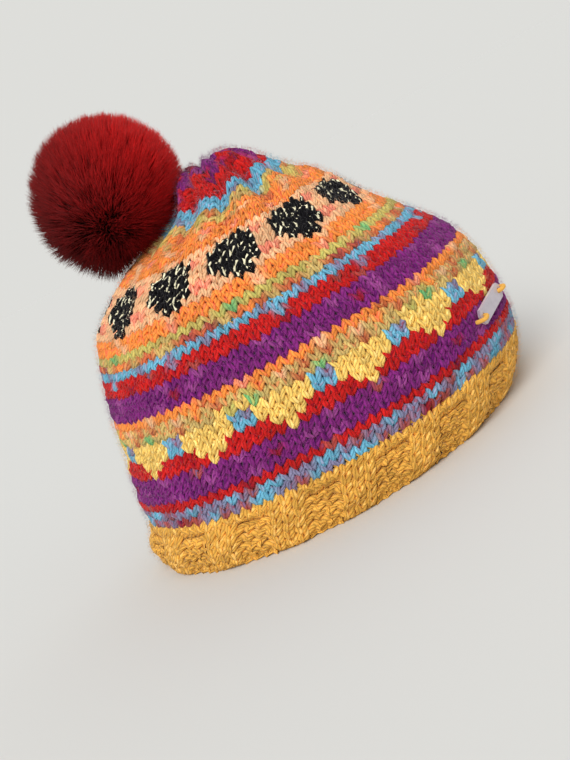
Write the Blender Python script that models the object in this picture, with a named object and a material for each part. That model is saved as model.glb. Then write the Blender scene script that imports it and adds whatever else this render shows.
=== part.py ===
"""A hand-knitted pompom beanie, standing on its rim.

The hat is one knitted tube: a ribbed band, a striped body and a crown that is drawn together
round a small hole. A fur pompom is tied through that hole and lies on the back of the crown,
and a small clear tag is sewn to the right front with two yarn stitches.

Metres, +Z up. +X is the front of the hat, -Y its right side, and the rim stands on Z = 0.
"""

import math
from collections import namedtuple

import bmesh
import bpy
from mathutils import Matrix, Vector
from mathutils.bvhtree import BVHTree

# The knitted fabric.
HAT_LENGTH = 0.2236
HAT_WIDTH = 0.1746
CROWN_HEIGHT = 0.1695
BAND_HEIGHT = 0.0240
CROWN_START = 0.1080
WALL = 0.0045
RIM_BEVEL = 0.0012
SEAM_GAP = 0.0003

# The ribs of the band: three stitches knit, three purl.
RIB_COUNT = 17
RIB_DEPTH = 0.0016
RIB_TURN = math.radians(11.0)
STEPS_PER_RIB = 6

# The pleats where the crown is drawn together round its hole.
PLEAT_COUNT = 12
PLEAT_DEPTH = 0.0056
PLEAT_TURN = math.radians(9.0)
STEPS_PER_PLEAT = 6
GATHER_DEPTH = 0.0090

# The pompom and the yarn that ties it on.
POMPOM_DIAMETER = 0.0790
LOCK_LENGTH = 0.0125
LOCK_TIP = 0.0022
LOCK_TAPER = 0.55
LOCK_LEAN = 0.0022
LOCK_SWIRL = 2.4
POMPOM_BACK = 0.0455
POMPOM_LIFT = 0.0075
POMPOM_ASIDE = 0.0080
SEAT_GAP = 0.0005
TIE_DIAMETER = 0.0026
TIE_GAP = 0.0005
TIE_TAIL = 0.0050

# The sewn tag and its two stitches.
TAG_LENGTH = 0.0304
TAG_WIDTH = 0.0077
TAG_THICKNESS = 0.0014
TAG_CORNER = 0.0021
TAG_HOLE_INSET = 0.0035
TAG_TURN = math.radians(-36.6)
TAG_HEIGHT = 0.0470
TAG_TILT = math.radians(7.0)
STITCH_DIAMETER = 0.0021
STITCH_GAP = 0.00035

# Rows from the rim up and over the gathers, to the slope into the hole. Height is a share of
# CROWN_HEIGHT, centre and length are shares of HAT_LENGTH, width is a share of HAT_WIDTH, and
# pleat a share of PLEAT_DEPTH.
Row = namedtuple("Row", "height centre length width pleat")
ROWS = (
    Row(0.000, -0.033, 0.915, 0.945, 0.00),
    Row(0.024, -0.025, 0.943, 0.971, 0.00),
    Row(0.071, -0.011, 0.975, 0.990, 0.00),
    Row(0.142, 0.009, 0.966, 0.994, 0.00),
    Row(0.236, 0.017, 0.965, 1.000, 0.00),
    Row(0.354, 0.025, 0.935, 0.983, 0.00),
    Row(0.472, 0.017, 0.884, 0.939, 0.00),
    Row(0.590, 0.000, 0.795, 0.866, 0.00),
    Row(0.708, -0.017, 0.676, 0.754, 0.20),
    Row(0.814, 0.003, 0.513, 0.596, 0.60),
    Row(0.861, 0.017, 0.391, 0.481, 0.85),
    Row(0.897, 0.030, 0.302, 0.387, 0.95),
    Row(0.932, 0.034, 0.246, 0.315, 1.00),
    Row(0.962, 0.028, 0.211, 0.270, 1.00),
    Row(0.985, 0.022, 0.170, 0.218, 0.90),
    Row(0.999, 0.022, 0.107, 0.137, 0.60),
    Row(0.982, 0.022, 0.063, 0.080, 0.25),
)
UNDERSIDE_HEIGHT = 0.93

# One row for each pleat, from the front round by the left side, the back and the right side.
# Swell pushes it out and lift raises it, as shares of PLEAT_DEPTH.
Pleat = namedtuple("Pleat", "swell lift")
PLEATS = (
    Pleat(0.00, 0.05),
    Pleat(0.05, 0.10),
    Pleat(0.05, 0.10),
    Pleat(0.15, 0.05),
    Pleat(0.05, -0.10),
    Pleat(0.15, -0.25),
    Pleat(0.10, -0.40),
    Pleat(0.20, -0.55),
    Pleat(0.20, -0.55),
    Pleat(0.25, -0.25),
    Pleat(0.15, 0.00),
    Pleat(0.05, 0.00),
)

# Soft dents (positive) and swells (negative) of the fabric. The angles are in degrees, height and
# tall are shares of CROWN_HEIGHT, and depth is a share of WALL.
Dent = namedtuple("Dent", "turn height wide tall depth")
DENTS = (
    Dent(-150, 0.66, 16, 0.09, 0.30),
    Dent(-118, 0.40, 20, 0.12, -0.22),
    Dent(-60, 0.62, 18, 0.10, 0.24),
    Dent(-12, 0.48, 16, 0.09, -0.28),
    Dent(-20, 0.64, 14, 0.07, 0.26),
    Dent(40, 0.45, 22, 0.12, 0.25),
    Dent(95, 0.60, 20, 0.12, -0.25),
    Dent(140, 0.38, 20, 0.10, 0.28),
    Dent(178, 0.72, 14, 0.08, -0.24),
)

COLOURS = {
    "rib_band": ((0.78, 0.42, 0.07), 0.85),
    "knit_body": ((0.42, 0.03, 0.13), 0.85),
    "knit_crown": ((0.85, 0.30, 0.08), 0.85),
    "pompom": ((0.30, 0.006, 0.010), 0.65),
    "pompom_tie": ((0.25, 0.006, 0.010), 0.80),
    "label_tag": ((0.66, 0.58, 0.66), 0.20),
    "tag_stitch": ((0.88, 0.58, 0.16), 0.85),
}


def clear_scene():
    for obj in list(bpy.data.objects):
        bpy.data.objects.remove(obj)


def material_of(name):
    """The Principled material of one finish."""
    found = bpy.data.materials.get(name)
    if found:
        return found
    colour, roughness = COLOURS[name]
    made = bpy.data.materials.new(name)
    made.use_nodes = True
    shader = made.node_tree.nodes["Principled BSDF"]
    shader.inputs["Base Color"].default_value = (*colour, 1.0)
    shader.inputs["Roughness"].default_value = roughness
    shader.inputs["Metallic"].default_value = 0.0
    return made


def place(name, data, finish, home):
    """A named object for a mesh or a curve, with its finish, in the hat's collection."""
    data.materials.append(material_of(finish))
    obj = bpy.data.objects.new(name, data)
    home.objects.link(obj)
    return obj


def spread(low, high, count):
    """Count + 1 even values from low to high."""
    return [low + (high - low) * i / count for i in range(count + 1)]


def tree_of(obj):
    """A search tree of a mesh object's faces."""
    points = [vert.co for vert in obj.data.vertices]
    return BVHTree.FromPolygons(points, [list(face.vertices) for face in obj.data.polygons])


class Profile:
    """The hat's meridian: each row's sizes as smooth functions of the length along the fabric."""

    def __init__(self):
        rows = [
            (
                row.height * CROWN_HEIGHT,
                row.centre * HAT_LENGTH,
                row.length * HAT_LENGTH / 2,
                row.width * HAT_WIDTH / 2,
                row.pleat * PLEAT_DEPTH,
            )
            for row in ROWS
        ]
        hole = TIE_DIAMETER / 2 + TIE_GAP
        rows.append((CROWN_HEIGHT - GATHER_DEPTH, rows[-1][1], hole, hole, 0.0))
        back = min(centre - reach for _, centre, reach, _, _ in rows)
        front = max(centre + reach for _, centre, reach, _, _ in rows)
        self.rows = [(h, c - (back + front) / 2, a, b, p) for h, c, a, b, p in rows]
        self.at = [0.0]
        for before, after in zip(self.rows, self.rows[1:]):
            self.at.append(self.at[-1] + math.hypot(*self.step(before, after)))
        self.length = self.at[-1]
        self.crest = self.at[max(range(len(self.rows)), key=lambda i: self.rows[i][0])]
        self.slopes = [self.slope_at(i) for i in range(len(self.rows))]

    @staticmethod
    def step(before, after):
        """(rise, inward run) from one row to another."""
        inward = (before[2] + before[3] - after[2] - after[3]) / 2
        return after[0] - before[0], inward

    def slope_at(self, i):
        low, high = max(i - 1, 0), min(i + 1, len(self.rows) - 1)
        run = self.at[high] - self.at[low]
        return [(b - a) / run for a, b in zip(self.rows[low], self.rows[high])]

    def __call__(self, along):
        """(height, centre, half length, half width, pleat depth) at a length from the rim."""
        along = min(max(along, 0.0), self.length)
        i = max(k for k in range(len(self.at) - 1) if self.at[k] <= along)
        run = self.at[i + 1] - self.at[i]
        t = (along - self.at[i]) / run
        keep, turn = 1 - 3 * t * t + 2 * t**3, 3 * t * t - 2 * t**3
        leave, reach = (t - 2 * t * t + t**3) * run, (t**3 - t * t) * run
        before, after = self.rows[i], self.rows[i + 1]
        return [
            keep * a + turn * b + leave * c + reach * d
            for a, b, c, d in zip(before, after, self.slopes[i], self.slopes[i + 1])
        ]

    def facing(self, along):
        """(outward, upward) shares of the way that the fabric faces."""
        near = self.length / 400
        rise, inward = self.step(self(along - near), self(along + near))
        size = math.hypot(rise, inward)
        return rise / size, inward / size

    def along_for(self, height):
        """The length from the rim where the fabric first reaches a height."""
        low, high = 0.0, self.crest
        for _ in range(40):
            middle = (low + high) / 2
            if self(middle)[0] < height:
                low = middle
            else:
                high = middle
        return (low + high) / 2


def wrapped(angle):
    """An angle between minus pi and pi."""
    return (angle + math.pi) % (2 * math.pi) - math.pi


def even_angle(turn, reach, side):
    """The ellipse angle that is an even share of the way round its edge."""
    squash = (reach - side) / (reach + side)
    return turn + squash / 2 * math.sin(2 * turn)


def dent_depth(turn, height):
    """How far the fabric is dented in at a place."""
    total = 0.0
    for dent in DENTS:
        across = math.degrees(wrapped(turn - math.radians(dent.turn))) / dent.wide
        up = (height / CROWN_HEIGHT - dent.height) / dent.tall
        total += dent.depth * WALL * math.exp(-across * across - up * up)
    return total


def rib_depth(turn, height):
    """The band's purl channels, which fade out below the body."""
    wave = math.cos(RIB_COUNT * (turn - RIB_TURN))
    flattened = max(min(wave * 1.6, 1.0), -1.0)
    fade = min(max((BAND_HEIGHT - height) / (BAND_HEIGHT / 4), 0.0), 1.0)
    return RIB_DEPTH * fade * (0.5 - 0.5 * flattened)


def pleat_shape(turn):
    """(valley, swell, lift) of the gathered crown, as shares of the pleats' depth."""
    place_in = (turn - PLEAT_TURN) * PLEAT_COUNT / (2 * math.pi)
    valley = (0.5 - 0.5 * math.cos(2 * math.pi * place_in)) ** 1.5
    pleat = PLEATS[round(place_in) % len(PLEATS)]
    return valley, pleat.swell * (1 - valley), pleat.lift * (1 - valley)


def fabric_point(profile, turn, along, depth=0.0):
    """A point of the fabric, at a depth below its outer face."""
    height, centre, reach, side, pleat = profile(along)
    out, up = profile.facing(along)
    valley, swell, lift = pleat_shape(turn)
    push = depth + pleat * (valley - swell) + rib_depth(turn, height) + dent_depth(turn, height)
    angle = even_angle(turn, reach, side)
    return Vector(
        (
            centre + (reach - out * push) * math.cos(angle),
            (side - out * push) * math.sin(angle),
            height - up * push + lift * pleat,
        )
    )


def knitted_ring(name, loop, turns, home):
    """A closed ring of fabric: loop(turn) gives the points once round the wall's section."""
    sections = [loop(turn) for turn in turns]
    around, across = len(sections), len(sections[0])
    bm = bmesh.new()
    bmesh.ops.create_grid(bm, x_segments=around, y_segments=across, size=1.0)
    for vert in bm.verts:
        i = round((vert.co.x + 1) / 2 * around) % around
        j = round((vert.co.y + 1) / 2 * across) % across
        vert.co = sections[i][j]
    bmesh.ops.remove_doubles(bm, verts=bm.verts, dist=1e-6)
    bmesh.ops.recalc_face_normals(bm, faces=bm.faces)
    mesh = bpy.data.meshes.new(name)
    bm.to_mesh(mesh)
    bm.free()
    mesh.shade_smooth()
    mesh.set_sharp_from_angle(angle=math.radians(50))
    return place(name, mesh, name, home)


def rib_band(profile, home):
    """The ribbed band, from the flat rim up to the first striped row."""
    top = profile.along_for(BAND_HEIGHT) - SEAM_GAP / 2
    steps = RIB_COUNT * STEPS_PER_RIB
    turns = [RIB_TURN + 2 * math.pi * (i + 0.5) / steps for i in range(steps)]
    outer = spread(RIM_BEVEL, top, 5)
    inner = spread(top, RIM_BEVEL, 3)

    def loop(turn):
        foot_out = fabric_point(profile, turn, RIM_BEVEL)
        foot_in = fabric_point(profile, turn, RIM_BEVEL, WALL)
        across = (foot_in - foot_out).xy.normalized().to_3d() * RIM_BEVEL
        rim = [foot_in - across, foot_out + across]
        for point in rim:
            point.z = 0.0
        outside = [fabric_point(profile, turn, along) for along in outer]
        inside = [fabric_point(profile, turn, along, WALL) for along in inner]
        return outside + inside + rim

    return knitted_ring("rib_band", loop, turns, home)


def pleat_turns():
    steps = PLEAT_COUNT * STEPS_PER_PLEAT
    return [PLEAT_TURN + 2 * math.pi * i / steps for i in range(steps)]


def knit_body(profile, home):
    """The striped body, from the band up to where the crown starts."""
    low = profile.along_for(BAND_HEIGHT) + SEAM_GAP / 2
    high = profile.along_for(CROWN_START) - SEAM_GAP / 2
    outer = spread(low, high, 8)
    inner = spread(high, low, 5)

    def loop(turn):
        outside = [fabric_point(profile, turn, along) for along in outer]
        inside = [fabric_point(profile, turn, along, WALL) for along in inner]
        return outside + inside

    return knitted_ring("knit_body", loop, pleat_turns(), home)


def knit_crown(profile, home):
    """The crown. Its wall thickens under the gathers, where the fabric bunches round the hole."""
    low = profile.along_for(CROWN_START) + SEAM_GAP / 2
    bunched = profile.along_for(UNDERSIDE_HEIGHT * CROWN_HEIGHT)
    outer = spread(low, profile.length, 14)
    inner = spread(bunched, low, 5)

    def loop(turn):
        outside = [fabric_point(profile, turn, along) for along in outer]
        inside = [fabric_point(profile, turn, along, WALL) for along in inner]
        lip = outside[-1] - Vector((0, 0, WALL / 2))
        return outside + [lip, lip.lerp(inside[0], 0.5)] + inside

    return knitted_ring("knit_crown", loop, pleat_turns(), home)


def gather_centre(profile):
    """The middle of the gathered hole, at its narrowest."""
    height, centre, _, _, _ = profile(profile.length)
    return Vector((centre, 0.0, height))


def pompom_centre(profile):
    gather = gather_centre(profile)
    return Vector((gather.x - POMPOM_BACK, POMPOM_ASIDE, CROWN_HEIGHT + POMPOM_LIFT))


def pressed_clear(tree, centre, point):
    """The point, or the last place on the way to it from the centre that is clear of the crown."""
    reach = (point - centre).length
    way = (point - centre) / reach
    gone = 0.0
    for _ in range(80):
        spare = tree.find_nearest(centre + way * gone)[3] - SEAT_GAP
        gone += spare
        if gone >= reach:
            return point
        if spare < SEAT_GAP / 50:
            break
    return centre + way * gone


def settle(bm, tree, centre):
    """Draws in the corners of each face that still reaches into the seat's clearance."""
    for _ in range(12):
        for face in bm.faces:
            spots = [face.calc_center_median()]
            spots += [(edge.verts[0].co + edge.verts[1].co) / 2 for edge in face.edges]
            for spot in spots:
                nearest, normal, _, distance = tree.find_nearest(spot)
                if (spot - nearest).dot(normal) < 0:
                    distance = -distance
                if distance >= SEAT_GAP:
                    continue
                for vert in face.verts:
                    inward = (centre - vert.co).normalized()
                    vert.co += inward * (SEAT_GAP - distance)


def pompom(profile, crown, home):
    """A ball with a lock of fur fused to each facet, pressed flat where it lies on the crown."""
    bm = bmesh.new()
    core = POMPOM_DIAMETER / 2 - LOCK_LENGTH
    bmesh.ops.create_icosphere(bm, subdivisions=3, radius=core)
    facet = sum(edge.calc_length() for edge in bm.edges) / len(bm.edges)
    bmesh.ops.inset_individual(
        bm,
        faces=bm.faces[:],
        thickness=facet * LOCK_TAPER / 3,
        depth=LOCK_LENGTH - LOCK_TIP,
        use_even_offset=False,
    )
    ends = [face for face in bm.faces if len(face.verts) == 3]
    tips = bmesh.ops.poke(bm, faces=ends, offset=LOCK_TIP, center_mode="MEAN")["verts"]
    for vert in tips:
        swirl = Vector((0, 0, 1)).cross(vert.co).normalized()
        vert.co += swirl * LOCK_LEAN * math.sin(LOCK_SWIRL * vert.co.z / core)
    centre = pompom_centre(profile)
    tree = tree_of(crown)
    for vert in bm.verts:
        vert.co = pressed_clear(tree, centre, vert.co + centre)
    settle(bm, tree, centre)
    bmesh.ops.recalc_face_normals(bm, faces=bm.faces)
    mesh = bpy.data.meshes.new("pompom")
    bm.to_mesh(mesh)
    bm.free()
    return place("pompom", mesh, "pompom", home)


def smooth_line(points, per_span):
    """Points on a Catmull-Rom curve through the given ones."""
    ends = [2 * points[0] - points[1], *points, 2 * points[-1] - points[-2]]
    found = []
    for a, b, c, d in zip(ends, ends[1:], ends[2:], ends[3:]):
        for i in range(per_span):
            t = i / per_span
            straight = 2 * b + (c - a) * t
            bend = (2 * a - 5 * b + 4 * c - d) * t * t + (3 * b - a - 3 * c + d) * t**3
            found.append((straight + bend) / 2)
    return found + [points[-1]]


def yarn(name, points, diameter, finish, home):
    """A round yarn with closed ends, on a smooth line through the points."""
    curve = bpy.data.curves.new(name, "CURVE")
    curve.dimensions = "3D"
    curve.bevel_depth = diameter / 2
    curve.bevel_resolution = 2
    curve.use_fill_caps = True
    route = smooth_line(points, 3)
    spline = curve.splines.new("POLY")
    spline.points.add(len(route) - 1)
    for target, point in zip(spline.points, route):
        target.co = (*point, 1.0)
    return place(name, curve, finish, home)


def pompom_tie(profile, home):
    """The yarn that holds the pompom: up through the gathered hole and back to its fur."""
    hole = gather_centre(profile)
    over = Vector((hole.x, 0.0, CROWN_HEIGHT - TIE_DIAMETER))
    centre = pompom_centre(profile)
    outward = (over - centre).normalized()
    fur = centre + outward * (POMPOM_DIAMETER / 2 + SEAT_GAP)
    points = [
        hole - Vector((0, 0, WALL / 2 + TIE_TAIL)),
        hole,
        hole.lerp(over, 0.6),
        over.lerp(fur, 0.4),
        fur,
    ]
    return yarn("pompom_tie", points, TIE_DIAMETER, "pompom_tie", home)


def tag_frame(profile):
    """The tag's own axes at its place on the body: X along it, Y up, Z outwards."""
    along = profile.along_for(TAG_HEIGHT)
    here = fabric_point(profile, TAG_TURN, along)
    near = TAG_WIDTH / 2
    step = math.radians(2)
    ahead = fabric_point(profile, TAG_TURN + step, along)
    behind = fabric_point(profile, TAG_TURN - step, along)
    above = fabric_point(profile, TAG_TURN, along + near)
    below = fabric_point(profile, TAG_TURN, along - near)
    run = (ahead - behind).normalized()
    out = run.cross(above - below).normalized()
    turned = Matrix.Rotation(TAG_TILT, 3, out)
    run = turned @ run
    frame = Matrix((run, out.cross(run), out)).transposed().to_4x4()
    frame.translation = here + out * (SEAM_GAP + TAG_THICKNESS / 2)
    return frame


def label_tag(profile, home):
    """A thin plate with cut corners and a hole at each end."""
    half_long, half_wide = TAG_LENGTH / 2, TAG_WIDTH / 2
    corners = [
        (half_long - TAG_CORNER, half_wide),
        (half_long, half_wide - TAG_CORNER),
        (half_long, TAG_CORNER - half_wide),
        (half_long - TAG_CORNER, -half_wide),
    ]
    outline = corners + [(-x, -y) for x, y in corners]
    hole_at = half_long - TAG_HOLE_INSET
    hole = STITCH_DIAMETER / 2 + STITCH_GAP
    ring = [2 * math.pi * i / 12 for i in range(12)]
    loops = [outline]
    for x in (hole_at, -hole_at):
        loops.append([(x + hole * math.cos(a), hole * math.sin(a)) for a in ring])
    curve = bpy.data.curves.new("label_tag", "CURVE")
    curve.dimensions = "2D"
    curve.fill_mode = "BOTH"
    curve.extrude = TAG_THICKNESS / 2
    for loop in loops:
        spline = curve.splines.new("POLY")
        spline.points.add(len(loop) - 1)
        spline.use_cyclic_u = True
        for target, (x, y) in zip(spline.points, loop):
            target.co = (x, y, 0.0, 1.0)
    obj = place("label_tag", curve, "label_tag", home)
    obj.matrix_world = tag_frame(profile)
    return obj


def tag_stitch(name, end, profile, body, home):
    """A yarn stitch from the hole at one end of the tag, over that end and into the fabric."""
    frame = tag_frame(profile)
    back = frame.inverted()
    tree = tree_of(body)
    radius = STITCH_DIAMETER / 2
    hole_at = TAG_LENGTH / 2 - TAG_HOLE_INSET
    beyond = TAG_LENGTH / 2 + STITCH_GAP + radius
    top = TAG_THICKNESS / 2 + STITCH_GAP + radius

    def foot(x):
        """The height over the fabric, in the tag's axes, where the stitch stops at x."""
        start = frame @ Vector((end * x, 0.0, WALL))
        way = frame.to_3x3() @ Vector((0.0, 0.0, -1.0))
        hit = tree.ray_cast(start, way)[0]
        return (back @ hit).z + STITCH_GAP + radius / 8

    line = [
        (hole_at, foot(hole_at)),
        (hole_at, TAG_THICKNESS / 2),
        (hole_at + radius, top + radius / 4),
        (beyond - radius, top + radius / 4),
        (beyond, -TAG_THICKNESS / 2),
        (beyond, foot(beyond)),
    ]
    points = [frame @ Vector((end * x, 0.0, z)) for x, z in line]
    return yarn(name, points, STITCH_DIAMETER, "tag_stitch", home)


def main():
    clear_scene()
    home = bpy.data.collections.new("pompom_beanie")
    bpy.context.scene.collection.children.link(home)
    profile = Profile()
    rib_band(profile, home)
    body = knit_body(profile, home)
    crown = knit_crown(profile, home)
    pompom(profile, crown, home)
    pompom_tie(profile, home)
    label_tag(profile, home)
    tag_stitch("tag_stitch_front", 1, profile, body, home)
    tag_stitch("tag_stitch_side", -1, profile, body, home)


main()
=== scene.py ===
# %% [markdown]
# # A hand-knitted pompom beanie
#
# A plain model of a winter hat is dressed here as the real one: fat yarn loops in stripes and
# dots, a fur pompom and a small clear tag. Sizes are in metres. +X is the front of the hat,
# -Y its right side, and the rim stands on Z = 0.
#
# Everything left to chance comes from one seeded source, so each run gives the same hat.

# %% Load the plain model
import functools
import math

import bmesh
import bpy
import numpy as np
from mathutils import Matrix, Vector
from mathutils.bvhtree import BVHTree


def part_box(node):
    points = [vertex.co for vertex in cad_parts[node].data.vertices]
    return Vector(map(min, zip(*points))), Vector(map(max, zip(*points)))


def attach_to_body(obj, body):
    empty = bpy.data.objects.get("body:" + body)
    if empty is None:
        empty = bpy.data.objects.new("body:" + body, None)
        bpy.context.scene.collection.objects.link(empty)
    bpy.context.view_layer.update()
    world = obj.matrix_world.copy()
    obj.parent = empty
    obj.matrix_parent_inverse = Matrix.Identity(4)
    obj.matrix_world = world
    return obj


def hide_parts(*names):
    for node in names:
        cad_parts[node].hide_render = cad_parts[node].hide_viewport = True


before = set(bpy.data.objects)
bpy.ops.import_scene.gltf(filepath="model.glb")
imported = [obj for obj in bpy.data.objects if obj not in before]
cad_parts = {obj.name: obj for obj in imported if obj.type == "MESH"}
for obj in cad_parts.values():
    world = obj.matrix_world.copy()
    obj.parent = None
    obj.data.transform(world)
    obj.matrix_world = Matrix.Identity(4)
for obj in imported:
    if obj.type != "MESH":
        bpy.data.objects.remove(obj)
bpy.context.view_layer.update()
random = np.random.default_rng(12)

# %% [markdown]
# ## The camera
#
# The picture is taken from the hat's right, a little above it, with the camera rolled, so the
# hat can rest level on the floor and still show the tilt that it has on a head. The roll comes
# from the up vector: two cross products make the camera's axes square to each other.

# %% Camera
EYE = Vector((-0.0489, -0.4775, 0.1544))
LOOKING = Vector((0.0807, 0.9747, -0.2083))
UPWARD = Vector((0.4977, 0.1416, 0.8557))
LENS = 44.96
SENSOR = 36.0

rightward = LOOKING.cross(UPWARD).normalized()
axes = Matrix((rightward, rightward.cross(LOOKING).normalized(), -LOOKING.normalized()))
camera = bpy.data.objects.new("camera", bpy.data.cameras.new("camera"))
camera.data.lens = LENS
camera.data.sensor_width = SENSOR
camera.matrix_world = Matrix.Translation(EYE) @ axes.transposed().to_4x4()
bpy.context.scene.collection.objects.link(camera)
bpy.context.scene.camera = camera
bpy.context.scene.view_settings.view_transform = "Standard"
print("lens", LENS, "mm")

# %% [markdown]
# ## The shape of the fabric
#
# Yarn is laid on the hat by three numbers: how far round it is, how far up along the fabric, and
# how deep. The rows below are the plain model's own sections, with smooth curves between them,
# so a stitch placed by row and column sits on the solid that it stands for.

# %% Sections of the hat
HAT_LENGTH = 0.2236
HAT_WIDTH = 0.1746
CROWN_HEIGHT = 0.1695
HOLE_RADIUS = 0.0018
HOLE_HEIGHT = 0.1605
PLEAT_DEPTH = 0.0056

# Height, centre, length and width as shares of the hat's sizes, and the pleats' share.
SECTIONS = np.array(
    [
        (0.000, -0.033, 0.915, 0.945, 0.00),
        (0.024, -0.025, 0.943, 0.971, 0.00),
        (0.071, -0.011, 0.975, 0.990, 0.00),
        (0.142, 0.009, 0.966, 0.994, 0.00),
        (0.236, 0.017, 0.965, 1.000, 0.00),
        (0.354, 0.025, 0.935, 0.983, 0.00),
        (0.472, 0.017, 0.884, 0.939, 0.00),
        (0.590, 0.000, 0.795, 0.866, 0.00),
        (0.708, -0.017, 0.676, 0.754, 0.20),
        (0.814, 0.003, 0.513, 0.596, 0.60),
        (0.861, 0.017, 0.391, 0.481, 0.85),
        (0.897, 0.030, 0.302, 0.387, 0.95),
        (0.932, 0.034, 0.246, 0.315, 1.00),
        (0.962, 0.028, 0.211, 0.270, 1.00),
        (0.985, 0.022, 0.170, 0.218, 0.90),
        (0.999, 0.022, 0.107, 0.137, 0.60),
        (0.982, 0.022, 0.063, 0.080, 0.25),
    ]
)

sizes = (CROWN_HEIGHT, HAT_LENGTH, HAT_LENGTH / 2, HAT_WIDTH / 2, PLEAT_DEPTH)
sections = SECTIONS * sizes
sections = np.vstack([sections, (HOLE_HEIGHT, sections[-1, 1], HOLE_RADIUS, HOLE_RADIUS, 0.0)])
ends = sections[:, 1] - sections[:, 2], sections[:, 1] + sections[:, 2]
sections[:, 1] -= (ends[0].min() + ends[1].max()) / 2
print("the hat has", len(sections), "sections")

# %% [markdown]
# ## Lengths along the fabric
#
# Rows of knitting are evenly spaced along the cloth, not in height, so the way from the rim to
# each section is added up. A slope at each section then lets a cubic curve join it to the next
# without a corner, as a modeller would with a smooth spline.

# %% Between the sections
step = np.diff(sections, axis=0)
lengths = np.concatenate([[0.0], np.cumsum(np.hypot(step[:, 0], (step[:, 2] + step[:, 3]) / 2))])
slopes = np.empty_like(sections)
slopes[1:-1] = (sections[2:] - sections[:-2]) / (lengths[2:] - lengths[:-2])[:, None]
slopes[0] = step[0] / (lengths[1] - lengths[0])
slopes[-1] = step[-1] / (lengths[-1] - lengths[-2])


def section_at(along):
    """Height, centre, half length, half width and pleat depth at lengths along the fabric."""
    along = np.clip(along, 0, lengths[-1])
    i = np.clip(np.searchsorted(lengths, along, side="right") - 1, 0, len(lengths) - 2)
    run = lengths[i + 1] - lengths[i]
    t = (along - lengths[i]) / run
    stay, go = 1 - 3 * t**2 + 2 * t**3, 3 * t**2 - 2 * t**3
    leave, reach = (t - 2 * t**2 + t**3) * run, (t**3 - t**2) * run
    shares = [np.asarray(part)[..., None] for part in (stay, go, leave, reach)]
    found = shares[0] * sections[i] + shares[1] * sections[i + 1]
    found = found + shares[2] * slopes[i] + shares[3] * slopes[i + 1]
    return np.moveaxis(found, -1, 0)


print("the fabric is", round(lengths[-1] * 1000, 1), "mm from the rim to the hole")

# %% [markdown]
# ## Ribs, pleats and dents
#
# The band has soft ribs, the crown falls into pleats towards its gathered middle, and a worn hat
# has a few wide dents. All of them push a point in or out along the way that the fabric faces.
# One formula gives them for any point, so stitches, fuzz and backing all follow the same form.

# %% Pleats and dents
WALL = 0.0045
BAND_HEIGHT = 0.0240
RIM_ROUNDING = 0.0080
RIB_COUNT = 17
RIB_DEPTH = 0.0016
RIB_TURN = math.radians(11.0)
RIB_SQUARENESS = 1.6
RIB_FADE = 4
PLEAT_COUNT = 12
PLEAT_TURN = math.radians(9.0)
PLEAT_POWER = 1.5
FACING_STEPS = 400
# How far each pleat swells out and lifts, as shares of the pleats' depth.
PLEAT_SWELL = np.array([0.0, 0.05, 0.05, 0.15, 0.05, 0.15, 0.10, 0.20, 0.20, 0.25, 0.15, 0.05])
PLEAT_LIFT = np.array([0.05, 0.1, 0.1, 0.05, -0.1, -0.25, -0.4, -0.55, -0.55, -0.25, 0.0, 0.0])
# Soft dents: turn, height, width, tallness and depth.
DENTS = (
    (-150, 0.66, 16, 0.09, 0.30),
    (-118, 0.40, 20, 0.12, -0.22),
    (-60, 0.62, 18, 0.10, 0.24),
    (-12, 0.48, 16, 0.09, -0.28),
    (-20, 0.64, 14, 0.07, 0.26),
    (40, 0.45, 22, 0.12, 0.25),
    (95, 0.60, 20, 0.12, -0.25),
    (140, 0.38, 20, 0.10, 0.28),
    (178, 0.72, 14, 0.08, -0.24),
)
print(PLEAT_COUNT, "pleats,", RIB_COUNT, "ribs and", len(DENTS), "dents")


# %% A place on the fabric
def facing_at(along):
    """Shares of the way that the fabric faces: outward and upward."""
    near = lengths[-1] / FACING_STEPS
    along = np.clip(along, near, lengths[-1] - near)
    before, after = section_at(along - near), section_at(along + near)
    rise = after[0] - before[0]
    inward = (before[2] + before[3] - after[2] - after[3]) / 2 * np.clip(along / RIM_ROUNDING, 0, 1)
    size = np.hypot(rise, inward)
    return rise / size, inward / size


def fabric(turn, along, out):
    """Points at turns round the hat, lengths from the rim and heights out of the fabric."""
    height, centre, reach, side, pleat = section_at(along)
    outward, upward = facing_at(along)
    place = (turn - PLEAT_TURN) * PLEAT_COUNT / (2 * math.pi)
    valley = (0.5 - 0.5 * np.cos(2 * math.pi * place)) ** PLEAT_POWER
    which = np.round(place).astype(int) % PLEAT_COUNT
    push = pleat * (valley - PLEAT_SWELL[which] * (1 - valley)) - out
    for dent_turn, dent_height, wide, tall, depth in DENTS:
        away = np.degrees((turn - math.radians(dent_turn) + math.pi) % (2 * math.pi) - math.pi)
        above = (height / CROWN_HEIGHT - dent_height) / tall
        push = push + depth * WALL * np.exp(-((away / wide) ** 2) - above**2)
    wave = np.clip(np.cos(RIB_COUNT * (turn - RIB_TURN)) * RIB_SQUARENESS, -1, 1)
    fade = np.clip((BAND_HEIGHT - height) / (BAND_HEIGHT / RIB_FADE), 0, 1)
    push = push + RIB_DEPTH * fade * (0.5 - 0.5 * wave)
    # On an oval, an even turn would crowd the stitches at the ends, so the angle is eased.
    angle = turn + (reach - side) / (reach + side) / 2 * np.sin(2 * turn)
    x = centre + (reach - outward * push) * np.cos(angle)
    y = (side - outward * push) * np.sin(angle)
    z = height - upward * push + PLEAT_LIFT[which] * (1 - valley) * pleat
    return np.stack([x, y, z], axis=-1)


# The first five sections rise steadily, so the top of the band can be read off them.
band_top = float(np.interp(BAND_HEIGHT, sections[:5, 0], lengths[:5]))
print("the band is", round(band_top * 1000, 1), "mm along the fabric")

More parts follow.
